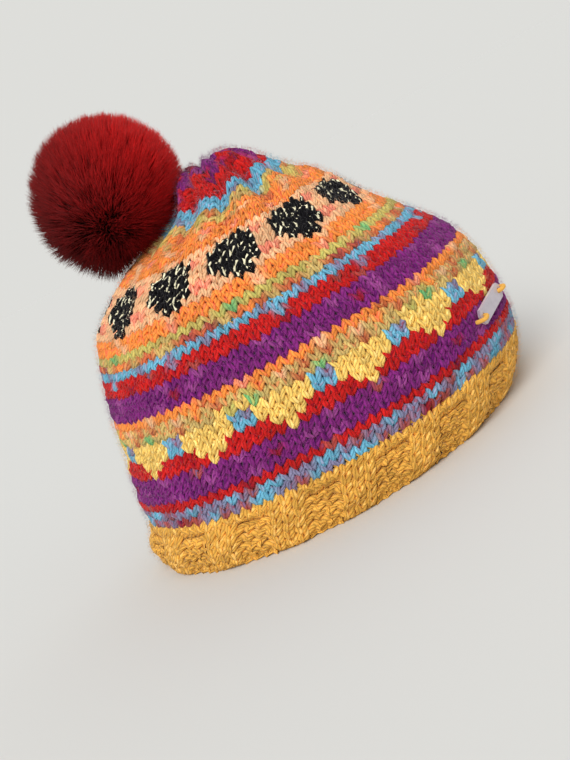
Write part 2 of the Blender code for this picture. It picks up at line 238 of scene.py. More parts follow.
# %% [markdown]
# ## One stitch
#
# Knitting is one yarn bent into loops. Each loop has two leaning legs, and its head and feet pass
# behind the rows above and below, which is why plain knitting shows columns of V shapes. A curve
# with a bevel could make it, but a grid bent into a tube gives few, even faces and a clean UV map.

# %% The yarn's path
ROW_HEIGHT = 0.0042
STITCH_WIDTH = 0.0054
LOOP_WAIST = 0.258


def loop_line(t, reach, depth):
    """The middle of the yarn: t goes from 0 to 1 along one stitch."""
    a = 2 * math.pi * t
    x = STITCH_WIDTH * (t + LOOP_WAIST * math.sin(2 * a))
    y = -reach * ROW_HEIGHT * math.cos(a)
    return Vector((x, y, -depth * math.cos(2 * a)))


print("a stitch is", STITCH_WIDTH * 1000, "by", ROW_HEIGHT * 1000, "mm")

# %% The yarn loop
LOOP_RINGS = 10
LOOP_SIDES = 6
# The yarn is thinnest where loops cross, swells along the legs and is a little flat.
THIN_SHARE = 0.82
SWELL_SHARE = 0.20
FLATNESS = 0.92
LOOK_AHEAD = 0.01


def yarn_loop(radius, reach, depth):
    """One stitch, 1 wide in X, with Y up and Z out of the fabric. A purl's depth is negative."""
    bm = bmesh.new()
    bmesh.ops.create_grid(bm, x_segments=LOOP_RINGS, y_segments=LOOP_SIDES, size=1.0)
    layer = bm.loops.layers.uv.new("yarn")
    for face in bm.faces:
        for corner in face.loops:
            corner[layer].uv = ((corner.vert.co.x + 1) / 2, (corner.vert.co.y + 1) / 2)
    for vert in bm.verts:
        t = (vert.co.x + 1) / 2
        around = -math.pi * (vert.co.y + 1)
        before = loop_line(t - LOOK_AHEAD, reach, depth)
        ahead = (loop_line(t + LOOK_AHEAD, reach, depth) - before).normalized()
        outward = (Vector((0, 0, 1)) - ahead * ahead.z).normalized()
        sideways = outward.cross(ahead)
        fat = radius * (THIN_SHARE + SWELL_SHARE * (0.5 - 0.5 * math.cos(4 * math.pi * t)))
        rim = outward * FLATNESS * math.sin(around) + sideways * math.cos(around)
        spot = loop_line(t, reach, depth) + rim * fat
        vert.co = (spot.x / STITCH_WIDTH, spot.y, spot.z)
    bmesh.ops.remove_doubles(bm, verts=bm.verts, dist=1e-7)
    return bm


# %% [markdown]
# ## The kinds of stitch
#
# A purl is a plain stitch seen from its back, so its loop has the depth turned round. The cast-on
# edge is nearly straight yarn. Four small meshes are enough for the whole hat. They are kept as
# arrays, because thousands of copies are quick to place that way and slow one object at a time.

# %% Four small meshes
YARN_RADIUS = 0.00140
LOOP_REACH = 0.80
LOOP_DEPTH = 0.00085
BAND_YARN_RADIUS = 0.00150
BAND_LOOP_DEPTH = 0.00125
EDGE_REACH = 0.25


def as_arrays(bm):
    """A small mesh as arrays, ready to be repeated: points, corners, face starts and UVs."""
    bm.verts.index_update()
    layer = bm.loops.layers.uv.active
    points = np.array([vert.co for vert in bm.verts])
    corners = np.array([corner.vert.index for face in bm.faces for corner in face.loops])
    starts = np.cumsum([0] + [len(face.verts) for face in bm.faces])[:-1]
    uvs = np.array([corner[layer].uv for face in bm.faces for corner in face.loops])
    bm.free()
    return points, corners, starts, uvs


STITCH_SHAPES = {
    "plain": as_arrays(yarn_loop(YARN_RADIUS, LOOP_REACH, LOOP_DEPTH)),
    "band": as_arrays(yarn_loop(BAND_YARN_RADIUS, LOOP_REACH, LOOP_DEPTH)),
    "purl": as_arrays(yarn_loop(BAND_YARN_RADIUS, LOOP_REACH, -BAND_LOOP_DEPTH)),
    "edge": as_arrays(yarn_loop(BAND_YARN_RADIUS, EDGE_REACH, 0.0)),
}
for kind, shape in STITCH_SHAPES.items():
    print("a", kind, "stitch has", len(shape[2]), "faces")

# %% [markdown]
# ## Many copies in one mesh
#
# Stitches, hairs and loose fibres are all one small mesh repeated thousands of times. Instances
# would be lighter, but each copy here is bent to its own place, so the copies are joined into
# one mesh. Every copy keeps its UV map and carries its own colour as an attribute of its points.


# %% Copies and pieces
def repeated(name, shape, places, colours, shift=None):
    """One mesh of many copies: places is (copies, points, 3), each colour (copies, points, 4)."""
    _, corners, starts, uvs = shape
    copies, count, _ = places.shape
    order = np.arange(copies)[:, None]
    mesh = bpy.data.meshes.new(name)
    mesh.vertices.add(copies * count)
    mesh.vertices.foreach_set("co", places.ravel())
    mesh.loops.add(copies * len(corners))
    mesh.loops.foreach_set("vertex_index", (corners + order * count).ravel())
    mesh.polygons.add(copies * len(starts))
    mesh.polygons.foreach_set("loop_start", (starts + order * len(corners)).ravel())
    mesh.update(calc_edges=True)
    layer = mesh.uv_layers.new(name="yarn")
    spread_uvs = np.tile(uvs, (copies, 1, 1))
    if shift is not None:
        spread_uvs[..., 0] += shift[:, None]
    layer.uv.foreach_set("vector", spread_uvs.ravel())
    for label, shades in colours.items():
        tint = mesh.color_attributes.new(label, "FLOAT_COLOR", "POINT")
        tint.data.foreach_set("color", np.broadcast_to(shades, (copies, count, 4)).ravel())
    mesh.shade_smooth()
    return mesh


def dress(name, mesh, solid):
    """A mesh as a piece of the hat, in place of one of the plain solids."""
    obj = bpy.data.objects.new(name, mesh)
    bpy.context.scene.collection.objects.link(obj)
    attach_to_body(obj, "root")
    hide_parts(solid)
    print(name, "has", len(mesh.polygons), "faces")
    return obj


# %% [markdown]
# ## The colours of the yarn
#
# The stripes come from self-striping yarn, so a row may change colour part of the way round. Each
# yarn has its own colour and that of the fibres twisted in with it. Colours are picked as they
# look on a screen and turned into the linear light that Blender's shaders work in.


# %% Yarns
def linear(red, green, blue):
    """A screen colour, 0 to 255, as the light it stands for."""
    parts = np.array((red, green, blue)) / 255
    return np.append(np.where(parts > 0.04, ((parts + 0.055) / 1.055) ** 2.4, parts / 12.92), 1)


YARNS = {
    "o": (linear(238, 178, 78), linear(248, 196, 104)),
    "y": (linear(255, 212, 112), linear(255, 222, 134)),
    "r": (linear(208, 34, 32), linear(160, 18, 34)),
    "m": (linear(156, 28, 42), linear(118, 26, 66)),
    "p": (linear(134, 42, 124), linear(92, 20, 92)),
    "v": (linear(164, 76, 148), linear(120, 36, 116)),
    "s": (linear(112, 184, 212), linear(146, 166, 196)),
    "l": (linear(140, 136, 168), linear(152, 92, 116)),
    "a": (linear(255, 152, 70), linear(252, 126, 78)),
    "t": (linear(214, 184, 112), linear(222, 150, 92)),
    "n": (linear(206, 104, 66), linear(208, 144, 88)),
    "e": (linear(208, 190, 104), linear(184, 182, 98)),
    "g": (linear(122, 194, 124), linear(186, 200, 116)),
    "h": (linear(255, 200, 150), linear(254, 176, 134)),
    "k": (linear(250, 146, 118), linear(255, 180, 142)),
    "b": (linear(16, 14, 18), linear(244, 236, 200)),
    "z": (linear(178, 80, 72), linear(130, 96, 130)),
}
# These two don't run into the colours beside them: they are knitted in from their own balls.
SOLID_YARNS = "yb"
print(len(YARNS), "yarns")

# %% [markdown]
# ## The knitting chart
#
# A knitter works from a chart with one letter for each stitch. Each row below is one short repeat
# of letters, from the first striped row up. The motifs repeat every 7 stitches of the body, and
# the dots every 7 stitches of the crown, once for each pleat.

# %% Colour chart
ROW_CHART = (
    "zlzssllzsllssszlzlmzzls",
    "lllslzsslllsslzlls",
    "rrrrrrmrrrrrrzrrrrr",
    "pppppvpppppppvp",
    "ppppvpppppmppvppp",
    "pvpppppppvpppzpp",
    "rrryrrr",
    "rryyyrr",
    "syyyyys",
    "lyyyyys",
    "tttyeygtttntgtttn",
    "tntthtatntteathtn",
    "aaaaaahaaaaanaaak",
    "ppppvpppppppvpp",
    "pppppvpppppppmpvpp",
    "vppppppvpppvppppp",
    "rrrrrrrrmrrrrrrrz",
    "rrrrrrsrrrrrzrrlrrrr",
    "sslssslssslsss",
    "nztnantnnttnz",
    "eeteeetegeeee",
    "aaaahaaaaakaaa",
    "aaaahaaaaaaahaa",
    "hhhbbhh",
    "khbbbbk",
    "hbbbbbh",
    "hbbbbbh",
    "hbbbbbk",
    "hhbbbhh",
    "aahhaaa",
    "akaaaakaahaa",
    "ahaaakaaahaaa",
    "aanataaataanta",
    "naeteattnea",
    "tesetteente",
    "ssslssssssls",
    "slssslsssss",
    "rrrrrrmrrr",
    "rrrrmrrrrvrr",
    "rrprrrrpprrm",
    "rppprrpppvrr",
    "rppvpprrppp",
    "pppvppprpp",
    "pprppprrp",
    "prrpprp",
    "rrrpprr",
)
MOTIF_ROWS = range(6, 10)
DOT_ROWS = range(23, 30)
REPEAT = 7
MOTIF_SHIFT = 3
ROW_SHIFT = 5


def colour_of(row, column):
    """The yarn letter of a stitch. Rows below 0 are the band."""
    if row < 0:
        return "o"
    letters = ROW_CHART[row]
    if row in MOTIF_ROWS:
        return letters[(column + MOTIF_SHIFT) % REPEAT]
    if row in DOT_ROWS:
        return letters[column % REPEAT]
    return letters[(column + ROW_SHIFT * row) % len(letters)]


print(len(ROW_CHART), "rows in the chart")

# %% [markdown]
# ## How many stitches a row has
#
# The body is knitted straight up, so its rows have the same count. In the crown the count is a
# number for each pleat, and near the top it falls as the ring of fabric gets shorter, as it does
# when a knitter knits two stitches together. The ring is measured, so the loops stay one size.

# %% Counts and columns
BAND_ROWS = 6
BODY_STITCHES = 105
BAND_STITCHES = 6 * RIB_COUNT
MOTIF_TURN = math.radians(-10.3)
DOT_TURN = math.radians(-4.8)
CROWN_ROW = 19
DECREASE_ROW = 30
ROW_MIDDLE = 0.8
RING_POINTS = 361


def row_line(row):
    """The length along the fabric of the middle of a row."""
    return band_top + (row + ROW_MIDDLE) * ROW_HEIGHT


@functools.cache
def stitches_of(row):
    """The count of stitches in a row, and the turn of the middle of the first."""
    if row < 0:
        return BAND_STITCHES, RIB_TURN
    if row < CROWN_ROW:
        return BODY_STITCHES, MOTIF_TURN
    lobe = REPEAT
    if row > DECREASE_ROW:
        ring = fabric(np.linspace(0, 2 * math.pi, RING_POINTS), row_line(row), 0)
        girth = np.linalg.norm(np.diff(ring, axis=0), axis=1).sum()
        lobe = int(min(max(round(girth / PLEAT_COUNT / STITCH_WIDTH), 1), REPEAT))
    start = DOT_TURN - (lobe - 1) / 2 * 2 * math.pi / (PLEAT_COUNT * lobe)
    return PLEAT_COUNT * lobe, start


def colour_at(row, turn):
    """The colour of the yarn at a turn round a row."""
    count, first = stitches_of(row)
    column = round((turn - first) * count / (2 * math.pi)) % count
    return YARNS[colour_of(row, column)][0]


print("the last row of the chart has", stitches_of(len(ROW_CHART) - 1)[0], "stitches")

# %% [markdown]
# ## Uneven hands
#
# Hand knitting is never quite even. A slow wave of small shifts moves neighbouring stitches
# together, and each loop is also a touch longer or deeper than the next. Near the gather the
# valleys of the pleats pull the rows down, so the stripes there rise and fall like scallops.

# %% Small shifts
WOBBLE = 0.00030
WAVES_ROUND = 34
WAVES_UP = 900
WAVE_PHASE = 9
SCALLOP = 0.0017
SCALLOP_SINK = 1.1
SCALLOP_ROWS = (27, 32, 38, 43)
waves = random.uniform(-1, 1, (3, 7, 4))


def unevenness(turn, along, which):
    """A smooth small shift for each place, different for each of the three directions."""
    total = 0
    for size, rise, run, phase in waves[which]:
        ripple = round(run * WAVES_ROUND) * turn + rise * along * WAVES_UP + phase * WAVE_PHASE
        total = total + size * np.sin(ripple)
    return total * WOBBLE


def scallop(turn, along):
    """How far the valleys of the pleats draw the gathered rows down."""
    level = (along - band_top) / ROW_HEIGHT
    grown = np.interp(level, SCALLOP_ROWS, (0, 1, 1, 0))
    return SCALLOP * grown * (np.cos((turn - PLEAT_TURN) * PLEAT_COUNT) - SCALLOP_SINK)


print(len(waves[0]), "waves in each direction")

# %% [markdown]
# ## A stitch in its place
#
# Every stitch is bent onto the fabric by its turn and its row, so it follows the dome, the ribs
# and the pleats under it. Numpy moves all the points at once, which is far quicker than a loop
# over them.

# %% Bending the stitches
YARN_BED = 0.0021
MEAN_RADIUS = 0.09
REACH_SPREAD = (0.95, 1.07)
DEPTH_SPREAD = (0.90, 1.12)
ROW_JITTER = 0.00011
TURN_JITTER = 0.0014


def stitch_places(shape, turns, widths, alongs):
    """The points of stitches that start at turns and are centred on lengths up the fabric."""
    x, y, z = (shape[0][:, i][None] for i in range(3))
    y = y * random.uniform(*REACH_SPREAD, (len(turns), 1))
    z = z * random.uniform(*DEPTH_SPREAD, (len(turns), 1))
    alongs = alongs + random.normal(0, ROW_JITTER, len(alongs))
    turns = turns + random.normal(0, TURN_JITTER, len(turns))
    turn = turns[:, None] + x * widths[:, None]
    along = alongs[:, None] + y
    around = turn + unevenness(turn, along, 0) / MEAN_RADIUS
    up = along + unevenness(turn, along, 1) + scallop(turn, along)
    out = z - YARN_BED + unevenness(turn, along, 2)
    return fabric(around, up, out)


# %% [markdown]
# ## Colour along a stitch
#
# Striping yarn changes colour slowly, so the first and last parts of a stitch are mixed with the
# stitches beside it, apart from the yarns knitted in from their own balls. The colour is stored on
# the points, and one material then serves every yarn on the hat.

# %% Running colours
SHADE_SPREAD = (0.80, 1.14)
RUN_SHARE = 0.42


def running_colour(shape, letters, which):
    """A colour for each point of each stitch: striping yarn runs into its neighbours' colours."""
    own = np.array([YARNS[letter][which] for letter in letters])
    own[:, :3] *= random.uniform(*SHADE_SPREAD, (len(own), 1))
    free = np.array([letter not in SOLID_YARNS for letter in letters])
    x = shape[0][:, 0][None, :, None]
    mixed = np.repeat(own[:, None, :], len(shape[0]), axis=1)
    before, after = np.clip(RUN_SHARE - x, 0, 1), np.clip(x - (1 - RUN_SHARE), 0, 1)
    for beside, share in ((-1, before), (1, after)):
        near = np.roll(own, -beside, axis=0)[:, None, :]
        both = (free & np.roll(free, -beside))[:, None, None]
        mixed = mixed + (near - mixed) * share * both
    mixed[..., 3] = 1
    return mixed


# %% [markdown]
# ## Laying the rows
#
# The hat is knitted from the cast-on edge up: a ribbed band of three plain and three purl
# columns, then the stripes, the motifs, the dots and the gather. Each stretch is one piece, so
# it stays light enough to export, and it takes the place of the plain solid under it.

# %% Rows of stitches
EDGE_LINE = 0.0018
RIB_STITCHES = 6
GATHER_TOP = 45


def kind_of(row, column):
    """The kind of loop that a stitch is."""
    if row >= 0:
        return "plain"
    if row < -BAND_ROWS:
        return "edge"
    if row < -1 and (column + 1) % RIB_STITCHES > 2:
        return "purl"
    return "band"


def laid_stitches(name, shape, stitches):
    """One mesh of the stitches that share a shape."""
    turns, widths, alongs, letters, columns = zip(*stitches)
    places = stitch_places(shape, np.array(turns), np.array(widths), np.array(alongs))
    colours = {
        "yarn_colour": running_colour(shape, letters, 0),
        "fleck_colour": running_colour(shape, letters, 1),
    }
    return repeated(name, shape, places, colours, np.array(columns, float))


def joined(meshes):
    """Some meshes as one: the first takes the faces of the others."""
    bm = bmesh.new()
    for mesh in meshes:
        bm.from_mesh(mesh)
    bm.to_mesh(meshes[0])
    bm.free()
    return meshes[0]


def knit(name, rows, solid):
    """The stitches of some rows, as one piece in place of a plain solid."""
    laid = {kind: [] for kind in STITCH_SHAPES}
    for row in rows:
        count, first = stitches_of(row)
        width = 2 * math.pi / count
        along = max(row_line(row), EDGE_LINE)
        for column in range(count):
            stitch = (first + (column - 0.5) * width, width, along, colour_of(row, column), column)
            laid[kind_of(row, column)].append(stitch)
    used = [(kind, stitches) for kind, stitches in laid.items() if stitches]
    meshes = [laid_stitches(name, STITCH_SHAPES[kind], stitches) for kind, stitches in used]
    return dress(name, joined(meshes), solid)


knitted = [
    knit("knitted_band", range(-BAND_ROWS - 1, 0), "rib_band"),
    knit("knitted_stripes", range(0, 10), "knit_body"),
    knit("knitted_motifs", range(10, 21), "knit_body"),
    knit("knitted_dots", range(21, 32), "knit_crown"),
    knit("knitted_gather", range(32, GATHER_TOP), "knit_crown"),
]

# %% [markdown]
# ## The middle of the wall
#
# On the real hat the back of each loop fills the gap behind the front ones. To model that would
# double the faces for little to see, so a closed sheet of wool lies in the middle of the wall
# instead, darkened as painted shade for the gaps between the loops. It is a grid folded double
# and wrapped round, coloured as the rows over it.

# %% The dark middle of the wall
BACKING_TURNS = 168
BACKING_FRONT = 0.0003
BACKING_BACK = 0.0013
# Painted shade: the sheet takes the colour of the rows over it, darkened by this share.
BACKING_PAINTED_SHADE = 0.40
BACKING_RIM = 0.001
BACKING_HOLE = 0.0005
ROW_LAP = 0.3


def backing(name, first, last, solid):
    """A closed thin ring of wool between two rows, darkened as painted shade."""
    up = last - first + 1
    bm = bmesh.new()
    bmesh.ops.create_grid(bm, x_segments=BACKING_TURNS, y_segments=2 * up, size=1.0)
    turn = np.array([(vert.co.x + 1) * math.pi for vert in bm.verts])
    level = np.array([(vert.co.y + 1) * up for vert in bm.verts])
    front = level <= up
    row = first + np.where(front, level, 2 * up - level)
    along = np.clip(band_top + row * ROW_HEIGHT, BACKING_RIM, lengths[-1] - BACKING_HOLE)
    out = np.where(front, -YARN_BED - BACKING_FRONT, -YARN_BED - BACKING_BACK)
    for vert, spot in zip(bm.verts, fabric(turn, along, out)):
        vert.co = spot
    tint = bm.verts.layers.float_color.new("yarn_colour")
    fleck = bm.verts.layers.float_color.new("fleck_colour")
    for vert, angle, place in zip(bm.verts, turn, row):
        over = int(min(max(math.floor(place - ROW_LAP), -BAND_ROWS), len(ROW_CHART) - 1))
        # Painted shade in the gaps between the loops.
        colour = colour_at(over, angle) * BACKING_PAINTED_SHADE
        vert[tint] = vert[fleck] = (*colour[:3], 1.0)
    bmesh.ops.remove_doubles(bm, verts=bm.verts, dist=1e-6)
    bmesh.ops.recalc_face_normals(bm, faces=bm.faces)
    mesh = bpy.data.meshes.new(name)
    bm.to_mesh(mesh)
    bm.free()
    mesh.uv_layers.new(name="yarn")
    mesh.shade_smooth()
    return dress(name, mesh, solid)


backings = [
    backing("band_backing", -BAND_ROWS, 0, "rib_band"),
    backing("body_backing", 0, 21, "knit_body"),
    backing("crown_backing", 21, 46, "knit_crown"),
]


# %% [markdown]
# ## Helpers for materials
#
# A material is a small network of nodes, and the same few steps come up in each: add a node, set
# or link its inputs, and start from Blender's own Principled shader. These helpers keep the
# recipes below short.

# %% Node helpers
def attach(tree, target, value):
    """Sets an input, or links it if the value is another node's output."""
    if isinstance(value, bpy.types.NodeSocket):
        tree.links.new(value, target)
    else:
        target.default_value = value


def node(tree, kind, **inputs):
    """A new node, with values or links for its inputs. Names use _ for a space."""
    made = tree.nodes.new(kind)
    for name, value in inputs.items():
        attach(tree, made.inputs[name.replace("_", " ")], value)
    return made


def math_node(tree, operation, *values):
    """The output of a Math node."""
    made = tree.nodes.new("ShaderNodeMath")
    made.operation = operation
    for target, value in zip(made.inputs, values):
        attach(tree, target, value)
    return made.outputs[0]


def mixed_colour(tree, share, first, second):
    """The output of a Mix node for colours: its colour sockets come after the plain ones."""
    made = tree.nodes.new("ShaderNodeMix")
    made.data_type = "RGBA"
    for place, value in ((0, share), (6, first), (7, second)):
        attach(tree, made.inputs[place], value)
    return made.outputs[2]


def principled(name, **inputs):
    """A new material, its nodes and its Principled shader with some inputs set."""
    made = bpy.data.materials.new(name)
    made.use_nodes = True
    tree = made.node_tree
    shader = tree.nodes["Principled BSDF"]
    for label, value in inputs.items():
        attach(tree, shader.inputs[label.replace("_", " ")], value)
    return made, tree, shader


# %% [markdown]
# ## The look of the yarn
#
# The yarn is four plies twisted together and a little fuzzy. Modelling the plies would take far
# too many faces, so a node group draws them from the loop's own UV map, where U runs along the
# yarn and V round it. It puts out the colour, darkened in the grooves between the plies as
# painted shade, and a height for the bump.

# %% The plied yarn group
FIBRE_GRAIN = 2400.0
HEATHER_GRAIN = 320.0
PLY_ROUNDNESS = 2.5
FLECK_PLY = 0.9
FLECK_SHARE = 0.535
# Each is a multiplier and what is added, so the shade stays near 1. The grooves' darkening is
# painted shade; the mottle and the grain are the wool's own tone.
GROOVE_PAINTED_SHADE = (0.36, 0.72)
MOTTLE = (0.9, 0.56)
GRAIN = (0.5, 0.76)
FIBRE_HEIGHT = 0.30


def new_group(name, inputs, outputs):
    """A shader node group with named float, colour or vector sockets."""
    group = bpy.data.node_groups.new(name, "ShaderNodeTree")
    for label, kind in inputs:
        group.interface.new_socket(label, in_out="INPUT", socket_type="NodeSocket" + kind)
    for label, kind in outputs:
        group.interface.new_socket(label, in_out="OUTPUT", socket_type="NodeSocket" + kind)
    return group, group.nodes.new("NodeGroupInput"), group.nodes.new("NodeGroupOutput")


def plied_yarn():
    """UV and colours in, shaded colour and height out. One ply shows flecks of its own colour."""
    colours_in = (("Color", "Color"), ("Fleck", "Color"))
    inputs = (("UV", "Vector"), *colours_in, ("Plies", "Float"), ("Twist", "Float"))
    outputs = (("Color", "Color"), ("Height", "Float"))
    tree, given, result = new_group("plied_yarn", inputs, outputs)
    spot = tree.nodes.new("ShaderNodeTexCoord").outputs["Object"]
    fibres = node(tree, "ShaderNodeTexNoise", Vector=spot, Scale=FIBRE_GRAIN, Detail=3.0)
    heather = node(tree, "ShaderNodeTexNoise", Vector=spot, Scale=HEATHER_GRAIN, Detail=2.0)
    parts = node(tree, "ShaderNodeSeparateXYZ", Vector=given.outputs["UV"])
    along = math_node(tree, "MULTIPLY", parts.outputs["X"], given.outputs["Twist"])
    around = math_node(tree, "MULTIPLY", parts.outputs["Y"], given.outputs["Plies"])
    turned = math_node(tree, "ADD", along, around)
    folded = math_node(tree, "MULTIPLY_ADD", math_node(tree, "FRACT", turned), 2.0, -1.0)
    edge = math_node(tree, "POWER", math_node(tree, "ABSOLUTE", folded), PLY_ROUNDNESS)
    ply = math_node(tree, "SUBTRACT", 1.0, edge)
    which = math_node(tree, "FLOORED_MODULO", turned, given.outputs["Plies"])
    first = math_node(tree, "LESS_THAN", which, FLECK_PLY)
    broken = math_node(tree, "GREATER_THAN", heather.outputs["Fac"], FLECK_SHARE)
    mask = math_node(tree, "MULTIPLY", first, broken)
    blend = mixed_colour(tree, mask, given.outputs["Color"], given.outputs["Fleck"])
    # Painted shade: the colour darkens in the grooves between the plies.
    painted_groove_shade = math_node(tree, "MULTIPLY_ADD", ply, *GROOVE_PAINTED_SHADE)
    mottle = math_node(tree, "MULTIPLY_ADD", heather.outputs["Fac"], *MOTTLE)
    grain = math_node(tree, "MULTIPLY_ADD", fibres.outputs["Fac"], *GRAIN)
    shade = math_node(tree, "MULTIPLY", math_node(tree, "MULTIPLY", painted_groove_shade, mottle), grain)
    tinted = tree.nodes.new("ShaderNodeVectorMath")
    tinted.operation = "SCALE"
    attach(tree, tinted.inputs[0], blend)
    attach(tree, tinted.inputs["Scale"], shade)
    attach(tree, result.inputs["Color"], tinted.outputs[0])
    height = math_node(tree, "MULTIPLY_ADD", fibres.outputs["Fac"], FIBRE_HEIGHT, ply)
    attach(tree, result.inputs["Height"], height)
    return tree


plied = plied_yarn()
print("group", plied.name, "has", len(plied.nodes), "nodes")

# %% [markdown]
# ## Wool
#
# Wool has hardly any gloss, and its fine hairs catch light at the edges, which the shader's sheen
# stands for. The colours come from the attributes of the stitches, and the bump comes from the
# group, so the one material dresses all the rows and the sheet behind them.

# %% The yarn material
PLIES = 4.0
TWIST = 8.0
PLY_BUMP = 0.0003


def yarn_material(name):
    """Soft plied wool that takes its colours from the stitches."""
    look_of_wool = {"Specular_IOR_Level": 0.1, "Sheen_Weight": 0.1, "Sheen_Roughness": 0.4}
    made, tree, shader = principled(name, Roughness=0.85, **look_of_wool)
    look = tree.nodes.new("ShaderNodeGroup")
    look.node_tree = plied
    for label, source in (("Color", "yarn_colour"), ("Fleck", "fleck_colour")):
        colour = tree.nodes.new("ShaderNodeAttribute")
        colour.attribute_name = source
        attach(tree, look.inputs[label], colour.outputs["Color"])
    uv = tree.nodes.new("ShaderNodeUVMap")
    uv.uv_map = "yarn"
    attach(tree, look.inputs["UV"], uv.outputs["UV"])
    attach(tree, look.inputs["Plies"], PLIES)
    attach(tree, look.inputs["Twist"], TWIST)
    bump = node(
        tree, "ShaderNodeBump", Height=look.outputs["Height"], Strength=1.0, Distance=PLY_BUMP
    )
    attach(tree, shader.inputs["Base Color"], look.outputs["Color"])
    attach(tree, shader.inputs["Normal"], bump.outputs["Normal"])
    return made


wool = yarn_material("plied_wool")
for obj in knitted + backings:
    obj.data.materials.append(wool)
print("wool on", len(knitted + backings), "pieces")

# %% [markdown]
# ## The pompom
#
# A fur pompom is long soft hair on a ball. Each hair here is a thin three-sided spike, and the
# hairs lean together in clumps, which gives the soft tufts. Thousands of spikes with a few faces
# each are light enough to render, and unlike hair curves they stay in the exported mesh.


# %% One hair
def spike(bends):
    """A three-sided spike from 0 to 1 up Z, as arrays, with a ring half way up if it bends."""
    bm = bmesh.new()
    bmesh.ops.create_cone(
        bm,
        cap_ends=False,
        segments=3,
        radius1=1.0,
        radius2=0.0,
        depth=1.0,
        matrix=Matrix.Translation((0, 0, 0.5)),
    )
    if bends:
        everything = bm.verts[:] + bm.edges[:] + bm.faces[:]
        bmesh.ops.bisect_plane(bm, geom=everything, plane_co=(0, 0, 0.5), plane_no=(0, 0, 1))
    bmesh.ops.remove_doubles(bm, verts=bm.verts, dist=1e-5)
    layer = bm.loops.layers.uv.new("yarn")
    for face in bm.faces:
        for corner in face.loops:
            corner[layer].uv = (corner.vert.co.z, 0.5)
    return as_arrays(bm)


hair = spike(bends=True)
print("one hair has", len(hair[2]), "faces")

# %% [markdown]
# ## Which way the hairs stand
#
# Hairs grow from every part of the ball, so their roots follow a spiral that spreads points
# evenly over it. Each hair is drawn towards the middle of its tuft and swept upwards, as if the
# pompom had been brushed. Its brightness is a random tone with painted light and shade on top:
# hairs that point towards the light are painted brighter, and those underneath darker.

# %% The ball of fur
FUR_RADIUS = 0.0395
FUR_ROOT = 0.0240
HAIRS = 30000
TUFTS = 1200
low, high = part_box("pompom")
low, high = Vector(low), Vector(high)
fur_centre = Vector(((low.x + high.x) / 2, (low.y + high.y) / 2, high.z - FUR_RADIUS))
print("pompom centre", fur_centre)


def even_directions(count):
    """Directions spread evenly over a ball, in a spiral."""
    i = np.arange(count) + 0.5
    up = 1 - 2 * i / count
    turn = math.pi * (1 + math.sqrt(5)) * i
    flat = np.sqrt(1 - up**2)
    return np.stack([flat * np.cos(turn), flat * np.sin(turn), up], axis=1)


def unit(vectors):
    """Vectors made one long."""
    return vectors / np.linalg.norm(vectors, axis=-1, keepdims=True)


# %% Hairs in tufts
# The fur is brushed upwards. Its underside is painted darker and its lit side painted brighter,
# as painted shade and light.
FUR_SWEEP = np.array((0.17, 0.05, 0.29))
FUR_PAINTED_LIGHT_WAY = np.array((1.00, -0.15, 0.35))
FUR_PAINTED_DIMMING = 0.3
# How far hairs and tufts stray from an even spread, and lean.
HAIR_STRAY = 0.012
TUFT_STRAY = 0.03
TUFT_LEAN = 0.06
HAIR_LEAN = 0.05
TUFT_PULL = 0.26
# How far out they reach, as shares of the pompom's radius.
TUFT_REACH = 0.012
HAIR_REACH = 0.022
MEAN_REACH = 0.985
REACH_LIMITS = (-0.12, 0.06)
RAGGED = 0.09
HAIR_BOW = 0.0012
TUFT_SHADE = 0.08
HAIR_SHADE = 0.20
BATCH = 2000


def fur_hairs():
    """Root, middle and tip of each hair, and its brightness: random tone and painted light."""
    ways = unit(even_directions(HAIRS) + random.normal(0, HAIR_STRAY, (HAIRS, 3)))
    tufts = unit(even_directions(TUFTS) + random.normal(0, TUFT_STRAY, (TUFTS, 3)))
    which = np.empty(HAIRS, int)
    for start in range(0, HAIRS, BATCH):
        part = slice(start, start + BATCH)
        which[part] = np.argmax(ways[part] @ tufts.T, axis=1)
    lean = random.normal(0, TUFT_LEAN, (TUFTS, 3))
    reach = random.normal(0, TUFT_REACH, TUFTS)[which] + random.normal(0, HAIR_REACH, HAIRS)
    drawn = (1 - TUFT_PULL) * ways + TUFT_PULL * tufts[which] + lean[which] + FUR_SWEEP
    tips = unit(drawn + random.normal(0, HAIR_LEAN, (HAIRS, 3)))
    root = ways * FUR_ROOT
    ragged = RAGGED * np.clip(-(tips @ unit(FUR_SWEEP)), 0, 1) ** 2
    tip = tips * (FUR_RADIUS * (MEAN_REACH + ragged + np.clip(reach, *REACH_LIMITS)))[:, None]
    middle = (root + tip) / 2 + ways * HAIR_BOW
    tone_and_painted_light = random.normal(0, TUFT_SHADE, TUFTS)[which] + random.normal(0, HAIR_SHADE, HAIRS)
    # Painted light and shade: brighter towards the light, dimmer underneath.
    tone_and_painted_light = tone_and_painted_light + tips @ FUR_PAINTED_LIGHT_WAY - FUR_PAINTED_DIMMING
    return root, middle, tip, tone_and_painted_light


roots, middles, tips, tone_and_painted_light = fur_hairs()
print(len(roots), "hairs in", TUFTS, "tufts")

# %% [markdown]
# ## Where the fur meets the hat
#
# The pompom presses against the crown, and its hairs lie flat there. A ray from the middle of the
# ball to each tip finds the hairs that would run into the knitting, and those are cut short. A
# search tree of the plain solids' faces makes the thousands of rays quick.

# %% Hairs kept out of the crown
RAY_SPARE = 0.002
FUR_GAP = 0.0008
SHORTEST_HAIR = 0.3
SHORT_HAIR = 0.62


def crown_faces():
    """A search tree of the plain crown and body."""
    corners, faces = [], []
    for part in ("knit_crown", "knit_body"):
        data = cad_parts[part].data
        faces += [[i + len(corners) for i in face.vertices] for face in data.polygons]
        corners += [vert.co.copy() for vert in data.vertices]
    return BVHTree.FromPolygons(corners, faces)


